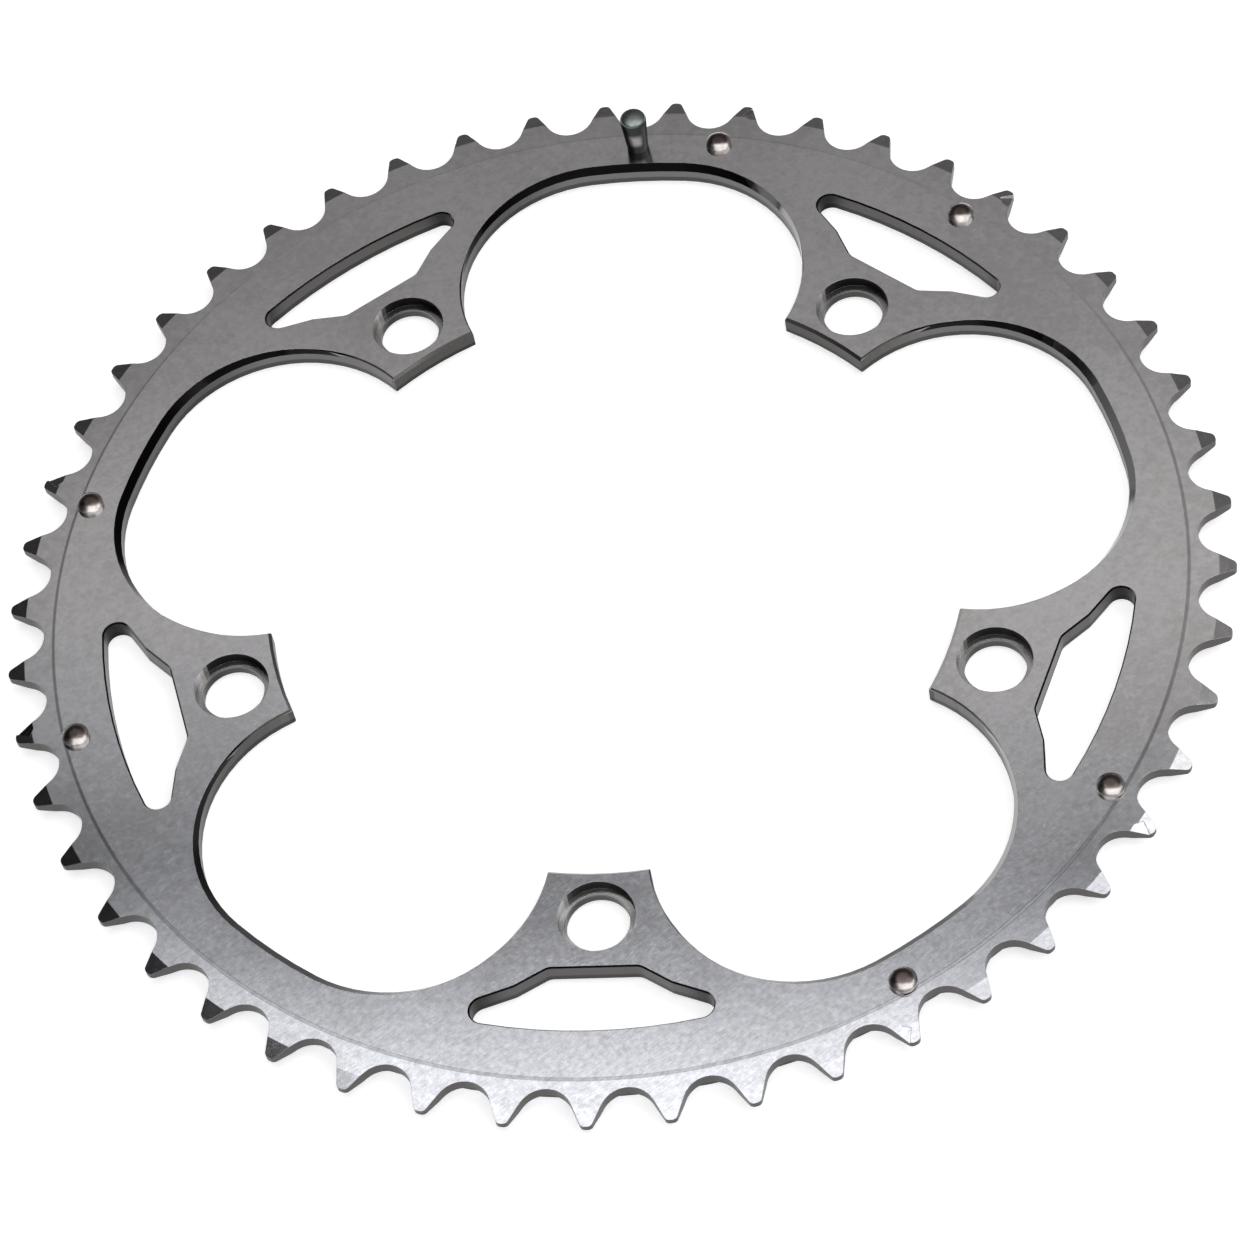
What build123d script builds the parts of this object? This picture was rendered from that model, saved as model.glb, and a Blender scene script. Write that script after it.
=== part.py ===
from build123d import *
from math import asin, cos, degrees, hypot, radians, sin, sqrt, tan
import os

# Outer chainring for a five-arm crank, with its riveted shift pins and its chain-drop pin.
# Millimetres. The origin is on the axis at the inner face, which seats on the crank's arms.
# +Z points to the outer face, and one arm tab lies along -Y.

# Chain and teeth
tooth_count = 49
chain_pitch = 12.7
roller_d = 7.75
seat_clearance = 0.44
seat_half_angle = 62
tip_height = 1.7
tip_round = 0.9
tooth_t = 2.1
tip_t = 1.1
tooth_bevel_l = 2.8
first_tooth_angle = -90

# Plate, measured inwards from the root circle of the teeth
plate_t = 3.8
band_w = 9.36
tooth_drop = 0.2
tooth_step_inset = 1.76
tooth_step_w = 0.3
inner_rim_inset = 0.5
edge_break = 0.25

# Arm tabs and bolts
arm_count = 5
first_arm_angle = -90
bolt_circle_d = 130.0
bolt_hole_d = 10.1
bolt_seat_d = 12.3
bolt_seat_depth = 2.0
tab_reach = 7.9
tab_end_chamfer = 0.5

# Lobes between the tabs, each made of two equal circles that touch the band's inner circle
lobe_r = 23.6
lobe_spread = 11.85  # between the centres of a lobe's two circles
lobe_bevel_w = 1.15
lobe_bevel_depth = 1.0

# Windows between the bolts and the band
window_web = 2.8  # metal left between a bolt seat and its window
window_inset = 0.65  # from the band's inner circle
window_inner_half = 7.1
window_knee_half = 12.2
window_knee_ratio = 0.417  # place of the knee on the way out from the inner edge to the tip
window_tip_half = 24.2  # where the sides would meet the outer arc
window_round = 2.2

# Shift pins, each beside a tooth with a relief on its outer face
shift_teeth = (4, 8, 19, 23, 35, 39)
shift_pin_inset = 3.56
shift_pin_turn = 2.0
shift_shank_d = 3.0
shift_head_d = 5.0
shift_head_h = 1.2
shift_head_chamfer = 0.3
shift_button_d = 4.4
shift_button_wall = 0.7
shift_button_dome = 0.6
rivet_fit = 0.01

# Relief on the tooth beside a shift pin: a sloping floor behind a low wall, from the root circle up
relief_start = (-0.5, 3.7)
relief_end = (3.4, 1.0)
relief_wall = 0.25
relief_slope = 16
relief_reach = 6.0

# Chain-drop pin
drop_pin_angle = 90
drop_pin_inset = 4.2
drop_shank_d = 3.0
drop_base_d = 3.7
drop_head_d = 4.7
drop_pin_h = 8.0
drop_dome_h = 0.5
drop_edge_round = 0.7

# Sizes that follow from the ones above
tooth_angle = 360 / tooth_count
arm_angle = 360 / arm_count
pitch_r = chain_pitch / (2 * sin(radians(tooth_angle / 2)))
seat_r = roller_d / 2 + seat_clearance
root_r = pitch_r - seat_r
tip_r = pitch_r + tip_height
tooth_bevel_r = tip_r - tooth_bevel_l
tooth_step_r = root_r - tooth_step_inset
inner_rim_r = root_r - inner_rim_inset
band_inner_r = root_r - band_w
tab_end_r = bolt_circle_d / 2 - tab_reach
lobe_turn = degrees(asin(lobe_spread / 2 / (band_inner_r - lobe_r)))
lobe_centre_x = (band_inner_r - lobe_r) * cos(radians(lobe_turn))
window_outer_r = band_inner_r - window_inset
window_tip_r = sqrt(window_outer_r**2 - window_tip_half**2)
window_inner_r = (bolt_circle_d + bolt_seat_d) / 2 + window_web
window_knee_r = window_inner_r + window_knee_ratio * (window_tip_r - window_inner_r)
window_side_w = window_tip_half - window_knee_half
window_side_rise = window_tip_r - window_knee_r
window_side_l = hypot(window_side_w, window_side_rise)
window_side_r = (window_knee_r * window_side_w - window_knee_half * window_side_rise) / window_side_l
window_knee_room = window_outer_r**2 - window_knee_r**2 - window_knee_half**2
window_tip_fit = window_knee_room / (2 * (window_outer_r + window_side_r))  # touches side and arc at the knee
window_tip_round = min(window_round, 0.8 * window_tip_fit)  # within the straight side
tooth_top = plate_t - tooth_drop
tooth_bottom = tooth_top - tooth_t
tip_drop = (tooth_t - tip_t) / 2


def ring_point(radius, angle, height=0.0):
    return (radius * cos(radians(angle)), radius * sin(radians(angle)), height)


def standing_plane(point):
    # Plane through a point with its second axis along +Z, for profiles turned about that axis
    return Plane(origin=point, x_dir=(1, 0, 0), z_dir=(0, -1, 0))


shift_tooth_angles = [first_tooth_angle + tooth * tooth_angle for tooth in shift_teeth]
shift_pin_angles = [angle + shift_pin_turn for angle in shift_tooth_angles]
shift_pin_r = root_r - shift_pin_inset
drop_pin_r = root_r - drop_pin_inset

# Gap between two teeth, along +X: roller seat, straight flanks, open past the tip circle
seat_end_x = pitch_r - seat_r * cos(radians(seat_half_angle))
seat_end_y = seat_r * sin(radians(seat_half_angle))
gap_outer_x = tip_r + seat_r
gap_outer_y = seat_end_y + (gap_outer_x - seat_end_x) / tan(radians(seat_half_angle))
with BuildSketch() as tooth_gap:
    with BuildLine():
        ThreePointArc((seat_end_x, -seat_end_y), (root_r, 0), (seat_end_x, seat_end_y))
        Polyline(
            (seat_end_x, seat_end_y),
            (gap_outer_x, gap_outer_y),
            (gap_outer_x, -gap_outer_y),
            (seat_end_x, -seat_end_y),
        )
    make_face()

# Outline of all the teeth, with rounded tips
with BuildSketch() as tooth_outline:
    Circle(tip_r)
    with PolarLocations(0, tooth_count, start_angle=first_tooth_angle + tooth_angle / 2):
        add(tooth_gap.sketch, mode=Mode.SUBTRACT)
    tip_corners = tooth_outline.vertices().filter_by(lambda corner: hypot(corner.X, corner.Y) > pitch_r)
    fillet(tip_corners, tip_round)

# One lobe along +X: the band's arc, the two circles, and a straight end that the bore removes
with BuildSketch() as lobe:
    with BuildLine():
        CenterArc((0, 0), band_inner_r, -lobe_turn, 2 * lobe_turn)
        CenterArc((lobe_centre_x, lobe_spread / 2), lobe_r, lobe_turn, 180 - lobe_turn)
        Line(
            (lobe_centre_x - lobe_r, lobe_spread / 2),
            (lobe_centre_x - lobe_r, -lobe_spread / 2),
        )
        CenterArc((lobe_centre_x, -lobe_spread / 2), lobe_r, 180, 180 - lobe_turn)
    make_face()

# One window along +X: straight inner edge, two slanted stretches each side, outer arc and round ends
with BuildSketch() as window:
    with BuildLine():
        inner_edge = Polyline(
            (window_tip_r, window_tip_half),
            (window_knee_r, window_knee_half),
            (window_inner_r, window_inner_half),
            (window_inner_r, 0),
        )
        mirror(inner_edge, about=Plane.XZ)
        ThreePointArc(
            (window_tip_r, window_tip_half),
            (window_outer_r, 0),
            (window_tip_r, -window_tip_half),
        )
    make_face()
    window_knees = window.vertices().filter_by(lambda corner: abs(corner.Y) <= window_knee_half)
    fillet(window_knees, window_round)
    fillet(window.vertices().group_by(Axis.Y)[0], window_tip_round)
    fillet(window.vertices().group_by(Axis.Y)[-1], window_tip_round)

# Lobes between the tabs and windows behind them
with BuildSketch() as cutouts:
    with PolarLocations(0, arm_count, start_angle=first_arm_angle + arm_angle / 2):
        add(lobe.sketch)
    with PolarLocations(0, arm_count, start_angle=first_arm_angle):
        add(window.sketch)

# Slanted cut that bevels the outer edge of one lobe and runs out on the tabs' flanks
with BuildPart() as lobe_bevel:
    with BuildSketch(Plane.XY.offset(plate_t - lobe_bevel_depth)):
        add(lobe.sketch)
        with Locations((lobe_centre_x, 0)):
            Rectangle(tip_r, 2 * tip_r, align=(Align.MIN, Align.CENTER), mode=Mode.INTERSECT)
    extrude(
        amount=2 * hypot(lobe_bevel_w, lobe_bevel_depth),
        dir=(lobe_bevel_w, 0, lobe_bevel_depth),
    )

# Relief for a tooth along +Y: its floor falls away from the wall, towards the tooth's clockwise flank
relief_from = Vector(relief_start[0], root_r + relief_start[1], tooth_top - relief_wall)
relief_line = Vector(relief_end[0] - relief_start[0], relief_end[1] - relief_start[1], 0)
relief_plane = Plane(origin=relief_from, x_dir=relief_line, z_dir=(0, 0, 1)).rotated((-relief_slope, 0, 0))
with BuildPart() as tooth_relief:
    with BuildSketch(relief_plane):
        Rectangle(relief_line.length, relief_reach, align=Align.MIN)
    extrude(amount=plate_t)

# Chainring
with BuildPart() as chainring:
    # Turned blank: flat plate, thinner tooth band, bevels to the tip
    with BuildSketch(Plane.XZ):
        with BuildLine():
            Polyline(
                (0, 0),
                (inner_rim_r, 0),
                (inner_rim_r, tooth_bottom),
                (tooth_bevel_r, tooth_bottom),
                (tip_r, tooth_bottom + tip_drop),
                (tip_r, tooth_top - tip_drop),
                (tooth_bevel_r, tooth_top),
                (tooth_step_r + tooth_step_w, tooth_top),
                (tooth_step_r, plate_t),
                (0, plate_t),
                close=True,
            )
        make_face()
    revolve(axis=Axis.Z)
    extrude(tooth_outline.sketch, amount=plate_t, mode=Mode.INTERSECT)

    # Lobes and windows, with broken edges on both faces
    extrude(cutouts.sketch, amount=plate_t, mode=Mode.SUBTRACT)
    cut_edges = chainring.edges(Select.LAST).group_by(Axis.Z)
    chamfer(cut_edges[0] + cut_edges[-1], edge_break)
    with PolarLocations(0, arm_count, start_angle=first_arm_angle + arm_angle / 2):
        add(lobe_bevel.part, mode=Mode.SUBTRACT)

    # Turned bore that ends the tabs, chamfered on both faces
    with BuildSketch(Plane.XZ):
        with BuildLine():
            Polyline(
                (0, 0),
                (tab_end_r + tab_end_chamfer, 0),
                (tab_end_r, tab_end_chamfer),
                (tab_end_r, plate_t - tab_end_chamfer),
                (tab_end_r + tab_end_chamfer, plate_t),
                (0, plate_t),
                close=True,
            )
        make_face()
    revolve(axis=Axis.Z, mode=Mode.SUBTRACT)

    # Reliefs on the teeth beside the shift pins
    with Locations(*[Location((0, 0, 0), (0, 0, angle - 90)) for angle in shift_tooth_angles]):
        add(tooth_relief.part, mode=Mode.SUBTRACT)

    # Bolt holes, sunk from the outer face for the bolt heads
    with Locations((0, 0, plate_t)):
        with PolarLocations(bolt_circle_d / 2, arm_count, start_angle=first_arm_angle):
            CounterBoreHole(bolt_hole_d / 2, bolt_seat_d / 2, bolt_seat_depth)

    # Rivet holes of the shift pins and the chain-drop pin
    with Locations(*[ring_point(shift_pin_r, angle, plate_t) for angle in shift_pin_angles]):
        Hole(shift_shank_d / 2 + rivet_fit)
    with Locations(ring_point(drop_pin_r, drop_pin_angle, plate_t)):
        Hole(drop_shank_d / 2 + rivet_fit)

# Shift pins: head on the inner face, shank through the plate, domed button on the outer face
button_edge_h = plate_t + shift_button_wall
button_top = button_edge_h + shift_button_dome
shift_pins = []
for number, angle in enumerate(shift_pin_angles, start=1):
    pin_foot = ring_point(shift_pin_r, angle)
    with BuildPart() as shift_pin:
        with BuildSketch(standing_plane(pin_foot)):
            with BuildLine():
                Polyline(
                    (0, button_top),
                    (0, -shift_head_h),
                    (shift_head_d / 2 - shift_head_chamfer, -shift_head_h),
                    (shift_head_d / 2, -shift_head_h + shift_head_chamfer),
                    (shift_head_d / 2, 0),
                    (shift_shank_d / 2, 0),
                    (shift_shank_d / 2, plate_t),
                    (shift_button_d / 2, plate_t),
                    (shift_button_d / 2, button_edge_h),
                )
                TangentArc((0, button_top), (shift_button_d / 2, button_edge_h), tangent=(1, 0))
            make_face()
        revolve(axis=Axis(pin_foot, (0, 0, 1)))
    shift_pin.part.label = f"shift_pin_{number}"
    shift_pins.append(shift_pin.part)

# Chain-drop pin: shank through the plate, and a post that widens to a domed top
drop_pin_foot = ring_point(drop_pin_r, drop_pin_angle)
drop_pin_top = plate_t + drop_pin_h
with BuildPart() as chain_drop_pin:
    with BuildSketch(standing_plane(drop_pin_foot)) as drop_profile:
        with BuildLine():
            Polyline(
                (0, drop_pin_top),
                (0, 0),
                (drop_shank_d / 2, 0),
                (drop_shank_d / 2, plate_t),
                (drop_base_d / 2, plate_t),
                (drop_head_d / 2, drop_pin_top - drop_dome_h),
            )
            TangentArc((0, drop_pin_top), (drop_head_d / 2, drop_pin_top - drop_dome_h), tangent=(1, 0))
        make_face()
        fillet(drop_profile.vertices().sort_by(Axis.X)[-1], drop_edge_round)
    revolve(axis=Axis(drop_pin_foot, (0, 0, 1)))

chainring.part.label = "chainring"
chain_drop_pin.part.label = "chain_drop_pin"
os.makedirs("parts", exist_ok=True)
for piece in [chainring.part, chain_drop_pin.part] + shift_pins:
    export_step(piece, f"parts/{piece.label}.step")
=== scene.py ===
from math import cos, pi, radians, sin

import bmesh
import bpy
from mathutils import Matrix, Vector


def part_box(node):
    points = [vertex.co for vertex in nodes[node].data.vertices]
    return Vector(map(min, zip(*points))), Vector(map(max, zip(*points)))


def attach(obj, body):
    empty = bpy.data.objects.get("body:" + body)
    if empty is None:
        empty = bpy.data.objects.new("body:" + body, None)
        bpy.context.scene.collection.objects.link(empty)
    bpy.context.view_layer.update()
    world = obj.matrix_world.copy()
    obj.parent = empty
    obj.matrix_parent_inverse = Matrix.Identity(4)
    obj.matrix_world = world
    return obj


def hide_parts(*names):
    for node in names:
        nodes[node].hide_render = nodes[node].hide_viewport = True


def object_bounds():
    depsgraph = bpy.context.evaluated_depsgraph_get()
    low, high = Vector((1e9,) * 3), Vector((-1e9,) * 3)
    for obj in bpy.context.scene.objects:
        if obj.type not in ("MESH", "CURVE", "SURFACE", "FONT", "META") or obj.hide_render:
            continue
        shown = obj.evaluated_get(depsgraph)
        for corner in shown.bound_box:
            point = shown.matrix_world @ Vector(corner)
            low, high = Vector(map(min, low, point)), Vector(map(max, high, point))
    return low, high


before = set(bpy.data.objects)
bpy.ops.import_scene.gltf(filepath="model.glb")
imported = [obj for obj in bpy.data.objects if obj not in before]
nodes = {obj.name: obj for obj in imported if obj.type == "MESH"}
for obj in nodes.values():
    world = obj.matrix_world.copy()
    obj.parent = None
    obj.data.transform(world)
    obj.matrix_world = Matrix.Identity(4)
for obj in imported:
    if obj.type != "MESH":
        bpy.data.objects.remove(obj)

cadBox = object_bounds()  # box of the solids, before anything is added
scene = bpy.context.scene
scene.view_settings.view_transform = "Standard"
ringLow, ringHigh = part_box("chainring")
print("frame loaded:", len(nodes), "nodes")


# small helpers for shader trees

def newTree(name):
    material = bpy.data.materials.new(name)
    material.use_nodes = True
    tree = material.node_tree
    tree.nodes.clear()
    output = tree.nodes.new("ShaderNodeOutputMaterial")
    return material, tree, output


def addNode(tree, kind, inputs=None, **settings):
    made = tree.nodes.new(kind)
    for key, value in settings.items():
        setattr(made, key, value)
    for socket, value in (inputs or {}).items():
        if isinstance(value, bpy.types.NodeSocket):
            tree.links.new(value, made.inputs[socket])
        else:
            made.inputs[socket].default_value = value
    return made


def maths(tree, operation, first, second=0.0, third=0.0):
    made = addNode(tree, "ShaderNodeMath", {0: first, 1: second, 2: third}, operation=operation)
    return made.outputs[0]


def together(tree, mask, *others):
    for other in others:
        mask = maths(tree, "MULTIPLY", mask, other)
    return mask


def remap(tree, value, low, high, toLow=0.0, toHigh=1.0, smooth=True):
    kind = "SMOOTHSTEP" if smooth else "LINEAR"
    made = addNode(
        tree,
        "ShaderNodeMapRange",
        {"Value": value, "From Min": low, "From Max": high, "To Min": toLow, "To Max": toHigh},
        interpolation_type=kind,
    )
    return made.outputs["Result"]


def between(tree, value, low, high, soft):
    rise = remap(tree, value, low - soft, low + soft)
    fall = remap(tree, value, high + soft, high - soft)
    return together(tree, rise, fall)


def noise(tree, coords, scale, detail=2.0, roughness=0.5):
    made = addNode(
        tree,
        "ShaderNodeTexNoise",
        {"Vector": coords, "Scale": scale, "Detail": detail, "Roughness": roughness},
    )
    return made.outputs["Fac"]


def turned(tree, coords, angle, stretch):
    made = addNode(
        tree,
        "ShaderNodeMapping",
        {"Vector": coords, "Rotation": (0, 0, radians(angle)), "Scale": stretch},
        vector_type="TEXTURE",
    )
    return made.outputs["Vector"]


def asColour(value):
    return (*value, 1) if isinstance(value, tuple) else value


def blend(tree, factor, first, second, kind="MIX"):
    made = addNode(
        tree,
        "ShaderNodeMix",
        {"Factor": factor, 6: asColour(first), 7: asColour(second)},
        data_type="RGBA",
        blend_type=kind,
    )
    return made.outputs[2]


def darken(tree, colour, factor):
    made = addNode(tree, "ShaderNodeVectorMath", {0: colour, "Scale": factor}, operation="SCALE")
    return made.outputs[0]


def axes(tree, vector):
    return addNode(tree, "ShaderNodeSeparateXYZ", {0: vector}).outputs


def distance(tree, across, along):
    flat = addNode(tree, "ShaderNodeCombineXYZ", {0: across, 1: along})
    made = addNode(tree, "ShaderNodeVectorMath", {0: flat.outputs[0]}, operation="LENGTH")
    return made.outputs["Value"]


def objectCoords(tree):
    return addNode(tree, "ShaderNodeTexCoord").outputs["Object"]


def surfaceNormal(tree, which="Normal"):
    return axes(tree, addNode(tree, "ShaderNodeNewGeometry").outputs[which])


def bumped(tree, height, **inputs):
    made = addNode(tree, "ShaderNodeBump", {"Strength": 1.0, "Distance": 1.0, "Height": height, **inputs})
    return made.outputs[0]


def patchyRoughness(tree, look, patch):
    spread = look["patchRoughness"]
    return maths(tree, "MULTIPLY_ADD", patch, spread, look["roughness"] - spread / 2)


def finishMetal(tree, output, colour, rough, normal):
    shader = addNode(
        tree,
        "ShaderNodeBsdfPrincipled",
        {"Base Color": colour, "Metallic": 1.0, "Roughness": rough, "Normal": normal},
    )
    tree.links.new(shader.outputs[0], output.inputs["Surface"])


# satin alloy of the ring, in metres and degrees
# a ramp is where a finish begins and where it is full, a span is its two edges

ringAlloy = {
    "dull": (0.53, 0.525, 0.525),
    "clean": (0.61, 0.61, 0.615),
    "cleanRamp": (0.75, 1.25),
    "warm": (1.012, 0.987, 0.992),  # tone of the far side
    "cool": (0.962, 0.978, 1.036),  # tone of the near side
    "coolLean": -0.15,
    "coolRamp": (0.0, 0.06),
    "roughness": 0.15,
    "patchRoughness": 0.06,
    "patchSize": 0.025,
    "cloudSize": 0.0016,
    "cloudDetail": (3.0, 0.55),
    "cloudHeight": 1.9e-6,
    "cloudFar": 0.45,  # share of that height left on the far side
    "cloudLean": -0.55,
    "cloudRamp": (-0.02, 0.09),
    "grainSize": 0.0003,
    "grainHeight": 0.4e-6,
    "speckleSize": 0.0008,
    "speckleDetail": (2.0, 0.6),
    "brushAngle": 38,
    "brushStretch": (0.0018, 0.0003, 1.0),
    "marksAndSheenRamp": (-0.02, -0.09),
    "marksAndSheenShare": (0.14, 0.55),  # strength of speckle and brush marks, far and near; the near share adds painted mottled sheen
    "scratchAngles": (12, 58, 147),
    "scratchStretch": (0.004, 0.00014, 1.0),
    "scratchRamp": (0.66, 0.76),
    "scratchHeight": 0.4e-6,
    "scratchRoughness": 0.12,
    "scratchedStretch": (0.02, 0.013, 1.0),  # patches that have scratches
    "scratchedRamp": (0.48, 0.62),
    "edgeRound": 0.00012,
    "edgeSamples": 2,
    # bolt holes in the tabs
    "tabCount": 5,
    "boltCircle": 0.065,
    "hole": 0.00505,
    "seat": 0.00615,
    "seatEdge": 0.0003,  # to either side of the seat's wall
    "seatSoft": 0.00005,
    # painted shade on the seat wall, with a painted glint where it faces right
    "seatShade": (0.003, 0.003, 0.003),
    "seatGlint": (0.62, 0.615, 0.61),
    "seatGlintRamp": (0.7, 0.95),
    "ledge": (0.42, 0.415, 0.41),
    "ledgeSoft": 0.00004,
    "ledgeTopRamp": (0.0024, 0.0021),
    "ledgeSlopeRamp": (0.7, 0.9),
    "ledgePitch": 0.00022,
    "ledgeHeight": 4e-6,
    # tooth band
    "bandStart": 0.0933,  # radius where the band begins
    "bandTilt": 0.014,  # fall in metres per metre
    "stepSpan": (-0.0004, 0.00015),  # from the start of the band
    "stepSoft": 0.0001,
    "stepTopRamp": (0.0030, 0.0034),
    "stepSlopeRamp": (0.5, 0.7),
    "stepFlat": 0.94,  # how far the step at the band is shaded flat
    # a painted shade line along the step, fading out toward the far side
    "stepShade": 0.45,
    "stepShadeRamp": (0.07, 0.01),
    "dirt": 0.76,  # share of the colour left on the dirty stretch
    "dirtAngle": -46,
    "dirtSpread": (15, 5.73),  # a ramp to either side of that angle
    "dirtRamp": (-0.0006, 0.0002),  # from the start of the band
    "dirtCloudRamp": (0.3, 0.6),
    "dirtThin": 0.8,
    # bevels of the lobes and tabs, coloured near black as painted shade
    "bevel": (0.012, 0.012, 0.012),
    "bevelSpan": (0.04, 0.92),
    "bevelSoft": 0.02,
    "bevelRamp": (0.0885, 0.0875),
    "bevelLeftShade": (0.30, 0.30, 0.30),  # lighter painted shade on bevels that face left
    "bevelLeftShadeRamp": (-0.4, -0.55),
    # mid grey painted shade on the chamfers at the inner ends of the tabs
    "tabEdgeShade": (0.20, 0.198, 0.195),
    "tabEdgeShadeRamp": (0.068, 0.064),
    # walls
    "wallRamp": (0.06, 0.02),
    "wallRoughness": 0.38,
    "lobeWall": (0.14, 0.138, 0.135),
    "rightFacingShadeRamp": (0.2, 0.8),
    "tabEnd": (0.07, 0.068, 0.066),
    "tabEndRamp": (0.0581, 0.0579),
    "windowWall": (0.095, 0.092, 0.09),
    "windowRamp": (0.0725, 0.0729),
    # painted shade toward the ends of each window
    "windowEndShade": (0.018, 0.017, 0.017),
    "windowEndShadeRamp": (9.5, 13),  # angles from the middle of the tab
    "lobeRadius": (0.074, 0.084),
    "lobeAngle": (11.2, 18.7),  # where lobe and window part, at those two radii
    "lobeSoft": 0.4,
    "toothWall": (0.085, 0.082, 0.08),
    "toothSoft": 0.001,
    "lowerWallShade": 0.45,  # share of the colour left on the lower part of a wall, as painted shade
    "lowerWallShadeRamp": (0.0015, 0.0012),
}


def ringPlaces(tree, look, coords):
    across, along, up = axes(tree, coords)
    facing = surfaceNormal(tree, "True Normal")
    radius = distance(tree, across, along)
    angle = maths(tree, "ARCTAN2", along, across)
    fromTab = maths(tree, "PINGPONG", maths(tree, "ADD", angle, pi / 2), pi / look["tabCount"])
    boltOut = maths(tree, "MULTIPLY_ADD", radius, maths(tree, "COSINE", fromTab), -look["boltCircle"])
    boltSide = maths(tree, "MULTIPLY", radius, maths(tree, "SINE", fromTab))
    return {
        "x": across,
        "y": along,
        "z": up,
        "radius": radius,
        "fromTab": fromTab,  # angle from the middle of the nearest tab
        "fromBolt": distance(tree, boltOut, boltSide),
        "right": facing[0],
        "upward": maths(tree, "ABSOLUTE", facing[2]),
    }


def nearness(tree, at, lean):
    # grows toward the camera, and leans to one side
    return maths(tree, "MULTIPLY_ADD", at["y"], -1.0, maths(tree, "MULTIPLY", at["x"], lean))


def scratchMask(tree, look, coords):
    scratches = 0.0
    for index, angle in enumerate(look["scratchAngles"]):
        streak = turned(tree, coords, angle, look["scratchStretch"])
        spread = turned(tree, coords, angle, look["scratchedStretch"])
        scratch = together(
            tree,
            remap(tree, noise(tree, streak, 1.0, 1.0), *look["scratchRamp"]),
            remap(tree, noise(tree, spread, 1.0 + index, 1.0), *look["scratchedRamp"]),
        )
        scratches = maths(tree, "MAXIMUM", scratches, scratch)
    return scratches


def ringMarks(tree, look, coords):
    brushed = turned(tree, coords, look["brushAngle"], look["brushStretch"])
    return {
        "cloud": noise(tree, coords, 1 / look["cloudSize"], *look["cloudDetail"]),
        "patch": noise(tree, coords, 1 / look["patchSize"]),
        "grain": noise(tree, coords, 1 / look["grainSize"]),
        "speckle": noise(tree, coords, 1 / look["speckleSize"], *look["speckleDetail"]),
        "brush": noise(tree, brushed, 1.0),
        "scratches": scratchMask(tree, look, coords),
    }


def ledgeMask(tree, look, at):
    return together(
        tree,
        between(tree, at["fromBolt"], look["hole"], look["seat"], look["ledgeSoft"]),
        remap(tree, at["z"], *look["ledgeTopRamp"]),
        remap(tree, at["upward"], *look["ledgeSlopeRamp"]),
    )


def stepMask(tree, look, at):
    edges = [look["bandStart"] + edge for edge in look["stepSpan"]]
    return together(
        tree,
        between(tree, at["radius"], *edges, look["stepSoft"]),
        remap(tree, at["z"], *look["stepTopRamp"]),
        remap(tree, at["upward"], *look["stepSlopeRamp"], 0.0, look["stepFlat"]),
    )


def dirtMask(tree, look, at, cloud):
    angle = radians(look["dirtAngle"])
    toward = maths(tree, "MULTIPLY", at["x"], cos(angle))
    toward = maths(tree, "MULTIPLY_ADD", at["y"], sin(angle), toward)
    toward = maths(tree, "DIVIDE", toward, at["radius"])
    edges = [look["bandStart"] + edge for edge in look["dirtRamp"]]
    return together(
        tree,
        remap(tree, toward, *[cos(radians(spread)) for spread in look["dirtSpread"]]),
        remap(tree, at["radius"], *edges),
        remap(tree, cloud, *look["dirtCloudRamp"], look["dirtThin"], 1.0),
    )


def bevelMask(tree, look, at):
    sloped = between(tree, at["upward"], *look["bevelSpan"], look["bevelSoft"])
    return together(tree, sloped, remap(tree, at["radius"], *look["bevelRamp"]))


def ringHeight(tree, look, at, marks, ledge):
    band = maths(tree, "MAXIMUM", maths(tree, "SUBTRACT", at["radius"], look["bandStart"]), 0.0)
    height = maths(tree, "MULTIPLY", band, -look["bandTilt"])
    near = remap(tree, nearness(tree, at, look["cloudLean"]), *look["cloudRamp"])
    cloud = together(tree, marks["cloud"], remap(tree, near, 0.0, 1.0, look["cloudFar"], 1.0, smooth=False))
    height = maths(tree, "MULTIPLY_ADD", cloud, look["cloudHeight"], height)
    height = maths(tree, "MULTIPLY_ADD", marks["grain"], look["grainHeight"], height)
    height = maths(tree, "MULTIPLY_ADD", marks["scratches"], -look["scratchHeight"], height)
    # the turned ledge in each bolt seat has fine rings
    rings = maths(tree, "SINE", maths(tree, "MULTIPLY", at["fromBolt"], 2 * pi / look["ledgePitch"]))
    return maths(tree, "MULTIPLY_ADD", together(tree, rings, ledge), look["ledgeHeight"], height)


def wornNormal(tree, look, step):
    # edges are slightly round, and the step at the tooth band is worn soft
    edges = addNode(tree, "ShaderNodeBevel", {"Radius": look["edgeRound"]}, samples=look["edgeSamples"])
    rounded = edges.outputs[0]
    mixed = addNode(tree, "ShaderNodeMix", {"Factor": step, 4: rounded, 5: (0, 0, 1)}, data_type="VECTOR")
    made = addNode(tree, "ShaderNodeVectorMath", {0: mixed.outputs[1]}, operation="NORMALIZE")
    return made.outputs[0]


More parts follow.
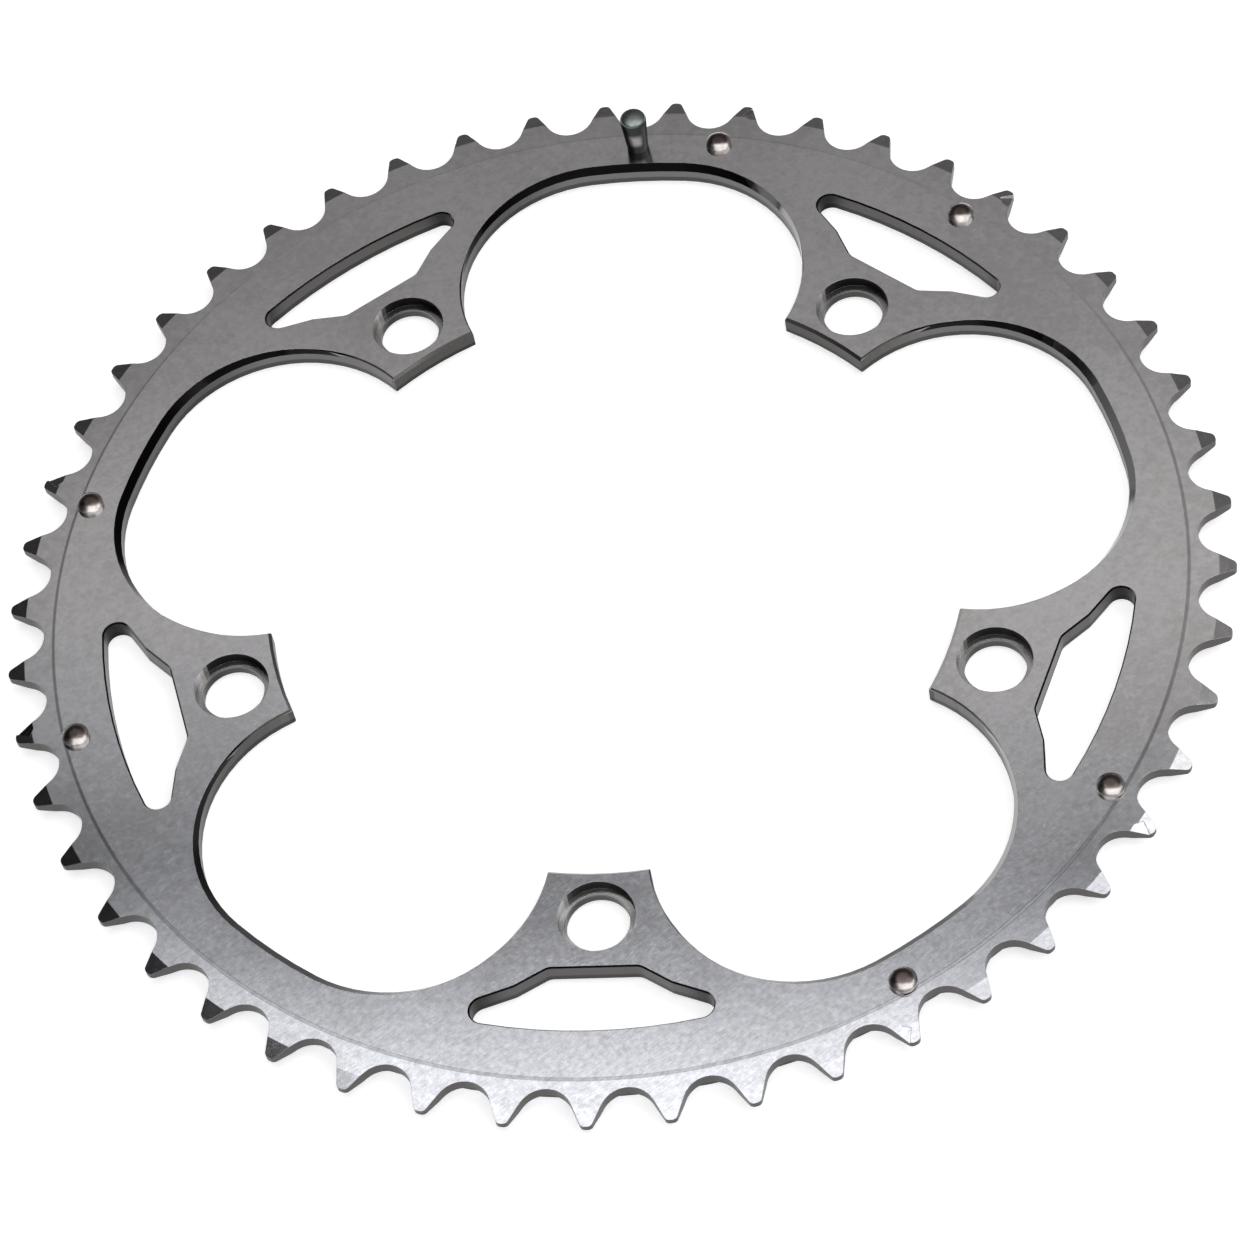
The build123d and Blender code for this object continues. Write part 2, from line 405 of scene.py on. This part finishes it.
def faceColour(tree, look, at, marks, step):
    cleaned = remap(tree, maths(tree, "ADD", marks["cloud"], marks["patch"]), *look["cleanRamp"])
    face = blend(tree, cleaned, look["dull"], look["clean"])
    cooled = remap(tree, nearness(tree, at, look["coolLean"]), *look["coolRamp"])
    face = blend(tree, 1.0, face, blend(tree, cooled, look["warm"], look["cool"]), "MULTIPLY")
    fine = maths(tree, "SUBTRACT", maths(tree, "ADD", marks["speckle"], marks["brush"]), 1.0)
    # speckle and brush marks, made stronger toward the near side as painted mottled sheen
    marksAndSheenShare = remap(tree, at["y"], *look["marksAndSheenRamp"], *look["marksAndSheenShare"], smooth=False)
    face = darken(tree, face, maths(tree, "MULTIPLY_ADD", fine, marksAndSheenShare, 1.0))
    # painted shade line along the step at the tooth band, none on the far side
    line = together(tree, step, remap(tree, at["y"], *look["stepShadeRamp"], 0.0, look["stepShade"]))
    face = darken(tree, face, maths(tree, "SUBTRACT", 1.0, line))
    # one stretch of the tooth band is dirty
    dirt = dirtMask(tree, look, at, marks["cloud"])
    return darken(tree, face, remap(tree, dirt, 0.0, 1.0, 1.0, look["dirt"], smooth=False))


# painted shade on the bevels: near black, lighter where they face left and at the tab ends
def bevelShadeColour(tree, look, at):
    shade = blend(tree, remap(tree, at["right"], *look["bevelLeftShadeRamp"]), look["bevel"], look["bevelLeftShade"])
    return blend(tree, remap(tree, at["radius"], *look["tabEdgeShadeRamp"]), shade, look["tabEdgeShade"])


def wallColour(tree, look, at):
    rightFacingShade = remap(tree, at["right"], *look["rightFacingShadeRamp"])  # painted shade: the walls that face right are darker
    colour = blend(tree, rightFacingShade, look["lobeWall"], look["tabEnd"])
    colour = blend(tree, remap(tree, at["radius"], *look["tabEndRamp"]), colour, look["tabEnd"])
    # the lobes reach in beside the windows, so the angle that parts them grows with the radius
    angles = [radians(angle) for angle in look["lobeAngle"]]
    limit = remap(tree, at["radius"], *look["lobeRadius"], *angles, smooth=False)
    soft = radians(look["lobeSoft"])
    isWindow = together(
        tree,
        remap(tree, at["radius"], *look["windowRamp"]),
        remap(tree, maths(tree, "SUBTRACT", at["fromTab"], limit), soft, -soft),
    )
    # painted shade: window walls turn near black toward their ends
    toEnd = remap(tree, at["fromTab"], *[radians(angle) for angle in look["windowEndShadeRamp"]])
    colour = blend(tree, isWindow, colour, blend(tree, toEnd, look["windowWall"], look["windowEndShade"]))
    isTooth = remap(tree, at["radius"], look["bandStart"], look["bandStart"] + look["toothSoft"])
    colour = blend(tree, isTooth, colour, look["toothWall"])
    # painted shade on the lower part of each wall
    colour = darken(tree, colour, remap(tree, at["z"], *look["lowerWallShadeRamp"], 1.0, look["lowerWallShade"]))
    # the seat wall: painted shade, and a painted glint where it faces right
    seat = blend(tree, remap(tree, at["right"], *look["seatGlintRamp"]), look["seatShade"], look["seatGlint"])
    edges = (look["seat"] - look["seatEdge"], look["seat"] + look["seatEdge"])
    return blend(tree, between(tree, at["fromBolt"], *edges, look["seatSoft"]), colour, seat)


def makeRingAlloy(look):
    material, tree, output = newTree("ring_alloy_satin")
    coords = objectCoords(tree)
    at = ringPlaces(tree, look, coords)
    marks = ringMarks(tree, look, coords)
    ledge = ledgeMask(tree, look, at)
    step = stepMask(tree, look, at)
    wall = remap(tree, at["upward"], *look["wallRamp"])
    colour = blend(tree, ledge, faceColour(tree, look, at, marks, step), look["ledge"])
    colour = blend(tree, bevelMask(tree, look, at), colour, bevelShadeColour(tree, look, at))
    colour = blend(tree, wall, colour, wallColour(tree, look, at))
    rough = patchyRoughness(tree, look, marks["patch"])
    rough = maths(tree, "MULTIPLY_ADD", marks["scratches"], look["scratchRoughness"], rough)
    rough = maths(tree, "MULTIPLY_ADD", wall, look["wallRoughness"] - look["roughness"], rough)
    height = ringHeight(tree, look, at, marks, ledge)
    finishMetal(tree, output, colour, rough, bumped(tree, height, Normal=wornNormal(tree, look, step)))
    return material


def dress(name, material):
    for slot in nodes[name].material_slots:
        slot.material = material


dress("chainring", makeRingAlloy(ringAlloy))
print("ring dressed")


# turned pins

turning = {"weld": 1e-6, "sharpAngle": 32}


def turnedPiece(name, centre, profile, rounds, steps):
    made = bmesh.new()
    points = [made.verts.new((across, 0, up)) for across, up in profile]
    for first, second in zip(points, points[1:]):
        made.edges.new((first, second))
    for index, (width, segments) in enumerate(rounds, start=1):
        bmesh.ops.bevel(
            made,
            geom=[points[index]],
            offset=width,
            offset_type="OFFSET",
            segments=segments,
            profile=0.5,
            affect="VERTICES",
            material=-1,
        )
    bmesh.ops.spin(
        made,
        geom=made.verts[:] + made.edges[:],
        cent=(0, 0, 0),
        axis=(0, 0, 1),
        angle=2 * pi,
        steps=steps,
        use_merge=True,
    )
    bmesh.ops.remove_doubles(made, verts=made.verts, dist=turning["weld"])
    bmesh.ops.recalc_face_normals(made, faces=made.faces)
    bmesh.ops.translate(made, verts=made.verts, vec=centre)
    for face in made.faces:
        face.smooth = True
    for edge in made.edges:
        edge.smooth = edge.calc_face_angle(0) < radians(turning["sharpAngle"])
    mesh = bpy.data.meshes.new(name)
    made.to_mesh(mesh)
    made.free()
    piece = bpy.data.objects.new(name, mesh)
    scene.collection.objects.link(piece)
    return piece


def steelMarks(tree, look, coords):
    patch = noise(tree, coords, look["patchScale"], look["patchDetail"])
    grain = noise(tree, coords, look["grainScale"])
    height = maths(tree, "MULTIPLY", grain, look["grainHeight"])
    height = maths(tree, "MULTIPLY_ADD", patch, look["patchHeight"], height)
    return patch, patchyRoughness(tree, look, patch), bumped(tree, height)


shiftPin = {
    "count": 6,
    "shank": 0.0015,
    "buttonEdge": 0.0022,
    "buttonDome": 0.0006,
    "domeCorner": 0.0015,  # where the flat top would meet the straight slope of the dome
    "rounds": ((0.0009, 8), (0.00008, 2)),  # width and segments, at the dome's corner and the edge
    "headChamfer": 0.0003,
    "steps": 64,
    "dark": (0.42, 0.39, 0.38),
    "light": (0.58, 0.55, 0.535),
    "lightRamp": (0.35, 0.65),
    "crownDark": (0.13, 0.105, 0.1),
    "crownDarkTopRamp": (0.87, 0.95),
    "crownDarkNearRamp": (-0.32, -0.14),
    "roughness": 0.26,
    "patchRoughness": 0.12,
    "patchScale": 900.0,
    "patchDetail": 3.0,
    "patchHeight": 6e-6,
    "grainScale": 5200.0,
    "grainHeight": 0.5e-6,
}


def makePinSteel(look):
    material, tree, output = newTree("shift_pin_steel_polished")
    patch, rough, normal = steelMarks(tree, look, objectCoords(tree))
    colour = blend(tree, remap(tree, patch, *look["lightRamp"]), look["dark"], look["light"])
    # darker brown on the flat middle of the dome, less on its near side
    facing = surfaceNormal(tree)
    crown = together(
        tree,
        remap(tree, facing[2], *look["crownDarkTopRamp"]),
        remap(tree, facing[1], *look["crownDarkNearRamp"]),
    )
    finishMetal(tree, output, blend(tree, crown, colour, look["crownDark"]), rough, normal)
    return material


def makeShiftPin(node, size, material):
    low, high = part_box(node)
    centre = ((low.x + high.x) / 2, (low.y + high.y) / 2, 0)
    head = (high.x - low.x) / 2
    edge = size["buttonEdge"]
    profile = (
        (0, high.z),
        (size["domeCorner"], high.z),
        (edge, high.z - size["buttonDome"]),
        (edge, ringHigh.z),
        (size["shank"], ringHigh.z),
        (size["shank"], ringLow.z),
        (head, ringLow.z),
        (head, low.z + size["headChamfer"]),
        (head - size["headChamfer"], low.z),
        (0, low.z),
    )
    piece = turnedPiece(node + "_rivet", centre, profile, size["rounds"], size["steps"])
    piece.data.materials.append(material)
    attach(piece, "root")
    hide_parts(node)


shiftSteel = makePinSteel(shiftPin)
for number in range(1, shiftPin["count"] + 1):
    makeShiftPin(f"shift_pin_{number}", shiftPin, shiftSteel)
print("shift pins made")


dropPin = {
    "shank": 0.0015,
    "base": 0.00185,
    "head": 0.00235,
    "dome": 0.0005,
    "domeShoulder": 0.6,
    "domeFall": 0.00016,
    "rounds": ((0.0005, 4), (0.0007, 6)),  # width and segments, at the dome's shoulder and the edge
    "steps": 72,
    "body": (0.03, 0.032, 0.032),
    "topPale": (0.27, 0.30, 0.285),
    "topPaleRamp": (-0.0009, -0.0005),  # from the top
    "topPalePatchRamp": (0.2, 0.6),
    "topPaleLeast": 0.6,
    # painted highlight: an upright lighter patch on the near side of the body
    "nearHighlight": (0.32, 0.32, 0.315),
    "nearHighlightSpan": (-0.0058, -0.0034),
    "nearHighlightSoft": 0.0008,
    "nearHighlightRamp": (-0.72, -0.97),
    "roughness": 0.3,
    "patchRoughness": 0.12,
    "patchScale": 700.0,
    "patchDetail": 3.0,
    "patchHeight": 5e-6,
    "grainScale": 4200.0,
    "grainHeight": 1e-6,
}


def makeBlackSteel(look, top):
    material, tree, output = newTree("drop_pin_steel_blackened")
    coords = objectCoords(tree)
    fromTop = maths(tree, "SUBTRACT", axes(tree, coords)[2], top)
    patch, rough, normal = steelMarks(tree, look, coords)
    # paler greenish grey toward the top, in patches
    topPaleShare = together(
        tree,
        remap(tree, fromTop, *look["topPaleRamp"]),
        remap(tree, patch, *look["topPalePatchRamp"], look["topPaleLeast"], 1.0),
    )
    colour = blend(tree, topPaleShare, look["body"], look["topPale"])
    # painted highlight: one upright lighter patch on the near side of the body
    paintedHighlight = together(
        tree,
        between(tree, fromTop, *look["nearHighlightSpan"], look["nearHighlightSoft"]),
        remap(tree, surfaceNormal(tree)[1], *look["nearHighlightRamp"]),
    )
    finishMetal(tree, output, blend(tree, paintedHighlight, colour, look["nearHighlight"]), rough, normal)
    return material


def makeDropPin(node, size):
    low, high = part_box(node)
    centre = ((low.x + high.x) / 2, (low.y + high.y) / 2, 0)
    profile = (
        (0, high.z),
        (size["head"] * size["domeShoulder"], high.z - size["domeFall"]),
        (size["head"], high.z - size["dome"]),
        (size["base"], ringHigh.z),
        (size["shank"], ringHigh.z),
        (size["shank"], low.z),
        (0, low.z),
    )
    piece = turnedPiece(node + "_post", centre, profile, size["rounds"], size["steps"])
    piece.data.materials.append(makeBlackSteel(size, high.z))
    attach(piece, "root")
    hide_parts(node)


makeDropPin("chain_drop_pin", dropPin)
print("chain-drop pin made")


# floor, lights and camera

floorSheet = {"radius": 4.0, "sides": 96, "white": (0.93, 0.93, 0.93), "lift": 0.5, "gap": 0.00002}


def makeFloor(look):
    made = bmesh.new()
    bmesh.ops.create_circle(made, cap_ends=True, segments=look["sides"], radius=look["radius"])
    bmesh.ops.translate(made, verts=made.verts, vec=(0, 0, cadBox[0].z - look["gap"]))
    mesh = bpy.data.meshes.new("floor")
    made.to_mesh(mesh)
    made.free()
    floor = bpy.data.objects.new("floor", mesh)
    scene.collection.objects.link(floor)
    material, tree, output = newTree("floor_white")
    paper = addNode(tree, "ShaderNodeBsdfDiffuse", {"Color": asColour(look["white"])})
    path = addNode(tree, "ShaderNodeLightPath")
    seen = maths(tree, "MAXIMUM", path.outputs["Is Camera Ray"], path.outputs["Is Glossy Ray"])
    seen = maths(tree, "MAXIMUM", seen, path.outputs["Is Transmission Ray"])
    lift = addNode(tree, "ShaderNodeEmission", {"Strength": together(tree, seen, look["lift"])})
    both = addNode(tree, "ShaderNodeAddShader", {0: paper.outputs[0], 1: lift.outputs[0]})
    # seen from below, the sheet lets the camera through
    below = addNode(tree, "ShaderNodeNewGeometry").outputs["Backfacing"]
    clear = addNode(tree, "ShaderNodeBsdfTransparent")
    sheet = addNode(tree, "ShaderNodeMixShader", {0: below, 1: both.outputs[0], 2: clear.outputs[0]})
    tree.links.new(sheet.outputs[0], output.inputs["Surface"])
    mesh.materials.append(material)


softbox = {"place": (0.467, -0.139, 1.2), "size": (1.866, 1.422), "level": 1.7, "tint": (1, 1, 1)}
farCard = {"place": (-0.088, 0.974, 1.2), "size": (0.941, 0.569), "level": 0.257, "tint": (1, 0.99, 0.98)}
farStrip = {"place": (-0.07, 0.808, 1.19), "size": (1.337, 0.226), "level": 0.29, "tint": (1, 0.99, 0.98)}


def makeLight(name, look):
    lamp = bpy.data.lights.new(name, "AREA")
    lamp.shape = "RECTANGLE"
    lamp.size, lamp.size_y = look["size"]
    lamp.energy = pi * lamp.size * lamp.size_y * look["level"]  # level is the brightness seen in a mirror
    lamp.color = look["tint"]
    light = bpy.data.objects.new(name, lamp)
    light.location = look["place"]  # an area light faces down
    scene.collection.objects.link(light)


roomGlow = {
    "base": 0.064,
    "right": 0.12,
    "left": -0.167,
    "far": 0.128,
    "near": 0.6,
    "least": 0.005,
    "lowLeft": 0.5,  # added low on the left
    "leftRamp": (-0.4, -0.6),
    "lowRamp": (0.4, 0.25),
}


def makeRoom(look):
    room = bpy.data.worlds.new("studio")
    room.use_nodes = True
    tree = room.node_tree
    tree.nodes.clear()
    output = tree.nodes.new("ShaderNodeOutputWorld")
    ways = axes(tree, addNode(tree, "ShaderNodeTexCoord").outputs["Generated"])
    level = look["base"]
    for key, axis, sign in (("right", 0, 1), ("left", 0, -1), ("far", 1, 1), ("near", 1, -1)):
        share = maths(tree, "MAXIMUM", maths(tree, "MULTIPLY", ways[axis], sign), 0.0)
        level = maths(tree, "MULTIPLY_ADD", share, look[key], level)
    level = maths(tree, "MAXIMUM", level, look["least"])
    lowLeft = together(
        tree,
        remap(tree, ways[0], *look["leftRamp"]),
        remap(tree, ways[2], *look["lowRamp"]),
    )
    level = maths(tree, "MULTIPLY_ADD", lowLeft, look["lowLeft"], level)
    glow = addNode(tree, "ShaderNodeBackground", {"Strength": level})
    tree.links.new(glow.outputs[0], output.inputs["Surface"])
    scene.world = room


cameraView = {
    "place": (0.0895, -0.3889, 0.56105),
    "ahead": (-0.1055, 0.5782, -0.8090),
    "right": (0.9937, 0.0301, -0.1081),
    "sensor": 36,
    "lens": 122.03,
    "shift": (-0.0808, -0.0808),
    "clip": (0.01, 20),
}


def makeCamera(look):
    data = bpy.data.cameras.new("camera")
    data.sensor_width = look["sensor"]
    data.lens = look["lens"]
    data.shift_x, data.shift_y = look["shift"]
    data.clip_start, data.clip_end = look["clip"]
    camera = bpy.data.objects.new("camera", data)
    ahead = Vector(look["ahead"]).normalized()
    right = Vector(look["right"]).normalized()
    up = right.cross(ahead)
    turn = camera.matrix_world.to_3x3()
    turn.col[0], turn.col[1], turn.col[2] = right, up, -ahead
    camera.matrix_world = turn.to_4x4()
    camera.location = look["place"]
    scene.collection.objects.link(camera)
    scene.camera = camera


makeFloor(floorSheet)
makeLight("softbox", softbox)
makeLight("far_card", farCard)
makeLight("far_strip", farStrip)
makeRoom(roomGlow)
makeCamera(cameraView)
print("stage, lights and camera set")
